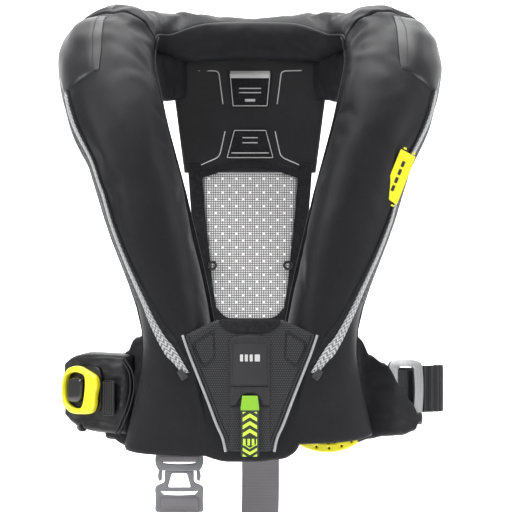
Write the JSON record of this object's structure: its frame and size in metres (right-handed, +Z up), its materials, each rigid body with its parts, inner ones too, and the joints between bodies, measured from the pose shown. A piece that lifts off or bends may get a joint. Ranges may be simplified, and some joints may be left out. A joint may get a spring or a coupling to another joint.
{
  "type": "inflatable life jacket",
  "caption": "Worn inflatable life jacket with covered chest lobes, collar, back mesh, waist belt with adjuster, metal belt rings and a buckled crutch strap.",
  "frame": {"origin": "between the two shoulder seats, on the plane of symmetry", "axes": "+Z up, the front of the jacket faces -Y, +X to the right of someone who looks at the front"},
  "size_m": [0.4427, 0.2926, 0.7074],
  "materials": {
    "nylon": "matt black woven nylon",
    "coated_nylon": "black coated nylon, slightly glossy",
    "lining": "black lining cloth",
    "silver_tape": "silver grey herringbone tape",
    "bladder": "yellow coated bladder cloth",
    "mesh": "light grey open mesh",
    "webbing": "black woven webbing",
    "grey_webbing": "grey woven webbing",
    "grip": "dark grey dotted knit",
    "green_tape": "green webbing",
    "yellow_cloth": "yellow woven label",
    "grey_plastic": "grey moulded plastic",
    "black_plastic": "black moulded plastic",
    "yellow_plastic": "yellow moulded plastic",
    "steel": "brushed stainless steel"
  },
  "bodies": {
    "jacket": {"left_lobe_cover": "nylon", "right_lobe_cover": "nylon", "collar_cover": "nylon", "left_hip_panel": "nylon", "right_hip_panel": "nylon", "left_lobe_lining": "lining", "right_lobe_lining": "lining", "collar_lining": "lining", "left_side_gusset": "lining", "right_side_gusset": "lining", "left_mesh_binding": "lining", "right_mesh_binding": "lining", "left_shoulder_cap": "coated_nylon", "right_shoulder_cap": "coated_nylon", "back_yoke": "coated_nylon", "hip_pod": "coated_nylon", "chest_flap": "coated_nylon", "upper_yoke_badge": "coated_nylon", "lower_yoke_badge": "coated_nylon", "left_burst_zip": "silver_tape", "right_burst_zip": "silver_tape", "left_piping": "silver_tape", "right_piping": "silver_tape", "air_bladder": "bladder", "back_mesh": "mesh", "back_waist_belt": "webbing", "front_waist_belt": "webbing", "belt_tail": "webbing", "tether_loop": "webbing", "crutch_front_loop": "grey_webbing", "crutch_strap_back": "grey_webbing", "chest_grip_panel": "grip", "release_pocket": "grip", "yellow_tag": "yellow_cloth", "crutch_buckle_male": "grey_plastic", "left_bungee_eyelet": "black_plastic", "right_bungee_eyelet": "black_plastic", "adjuster_base": "black_plastic", "adjuster_bar": "black_plastic", "release_carrier": "black_plastic", "inflator_body": "black_plastic", "oral_tube": "black_plastic", "inflator_cap": "yellow_plastic", "whistle": "yellow_plastic", "light_unit": "yellow_plastic", "belt_outer_ring": "steel", "belt_inner_ring": "steel"},
    "adjuster": {"adjuster_frame": "yellow_plastic"},
    "handle": {"pull_handle": "yellow_plastic", "pull_lanyard": "webbing"},
    "lever": {"firing_lever": "yellow_plastic"},
    "release_tab": {"release_pull_tab": "green_tape"},
    "left_slider": {"left_zip_slider": "steel"},
    "right_slider": {"right_zip_slider": "steel"},
    "crutch_lower": {"crutch_buckle_female": "grey_plastic", "crutch_strap_front": "grey_webbing"},
    "left_prong": {"crutch_buckle_left_prong": "grey_plastic"},
    "right_prong": {"crutch_buckle_right_prong": "grey_plastic"},
    "cylinder": {"co2_cylinder": "steel"},
    "oral_cap": {"oral_tube_cap": "yellow_plastic"}
  },
  "joints": [
    {"name": "adjuster_lift", "type": "hinge", "parent": "jacket", "child": "adjuster", "pos_m": [-0.2121, -0.0636, -0.391], "axis": [0, 0, -1], "range_deg": [0, 35]},
    {"name": "handle_pull", "type": "slide", "parent": "jacket", "child": "handle", "axis": [0, 0, -1], "range_m": [0, 0.045]},
    {"name": "lever_turn", "type": "hinge", "parent": "jacket", "child": "lever", "pos_m": [0.1028, -0.1274, -0.3838], "axis": [-0.2189, 0.9726, 0.0782], "range_deg": [0, 50]},
    {"name": "release_tab_lift", "type": "hinge", "parent": "jacket", "child": "release_tab", "pos_m": [0, -0.1671, -0.3965], "axis": [-1, 0, 0], "range_deg": [0, 75]},
    {"name": "left_zip_slide", "type": "slide", "parent": "jacket", "child": "left_slider", "axis": [-0.5619, -0.0709, 0.8242], "range_m": [0, 0.02]},
    {"name": "right_zip_slide", "type": "slide", "parent": "jacket", "child": "right_slider", "axis": [0.5619, -0.0709, 0.8242], "range_m": [0, 0.02]},
    {"name": "crutch_release", "type": "slide", "parent": "jacket", "child": "crutch_lower", "axis": [0, 0, -1], "range_m": [0, 0.03]},
    {"name": "left_prong_press", "type": "hinge", "parent": "jacket", "child": "left_prong", "pos_m": [-0.1, -0.1251, -0.481], "axis": [0, -1, 0], "range_deg": [0, 6], "stiffness_Nm_per_rad": 0.5},
    {"name": "right_prong_press", "type": "hinge", "parent": "jacket", "child": "right_prong", "pos_m": [-0.062, -0.1251, -0.481], "axis": [0, 1, 0], "range_deg": [0, 6], "stiffness_Nm_per_rad": 0.5},
    {"name": "cylinder_unscrew", "type": "hinge", "parent": "jacket", "child": "cylinder", "pos_m": [0.0894, -0.1395, -0.3538], "axis": [0.1604, -0.0432, 0.9861], "continuous": true},
    {"name": "oral_cap_pull", "type": "slide", "parent": "jacket", "child": "oral_cap", "axis": [-0.2835, 0.0776, 0.9558], "range_m": [0, 0.012]}
  ],
  "couplings": [
    {"joint": "lever_turn", "follows": "handle_pull", "rad_per_m": 19.39}
  ]
}
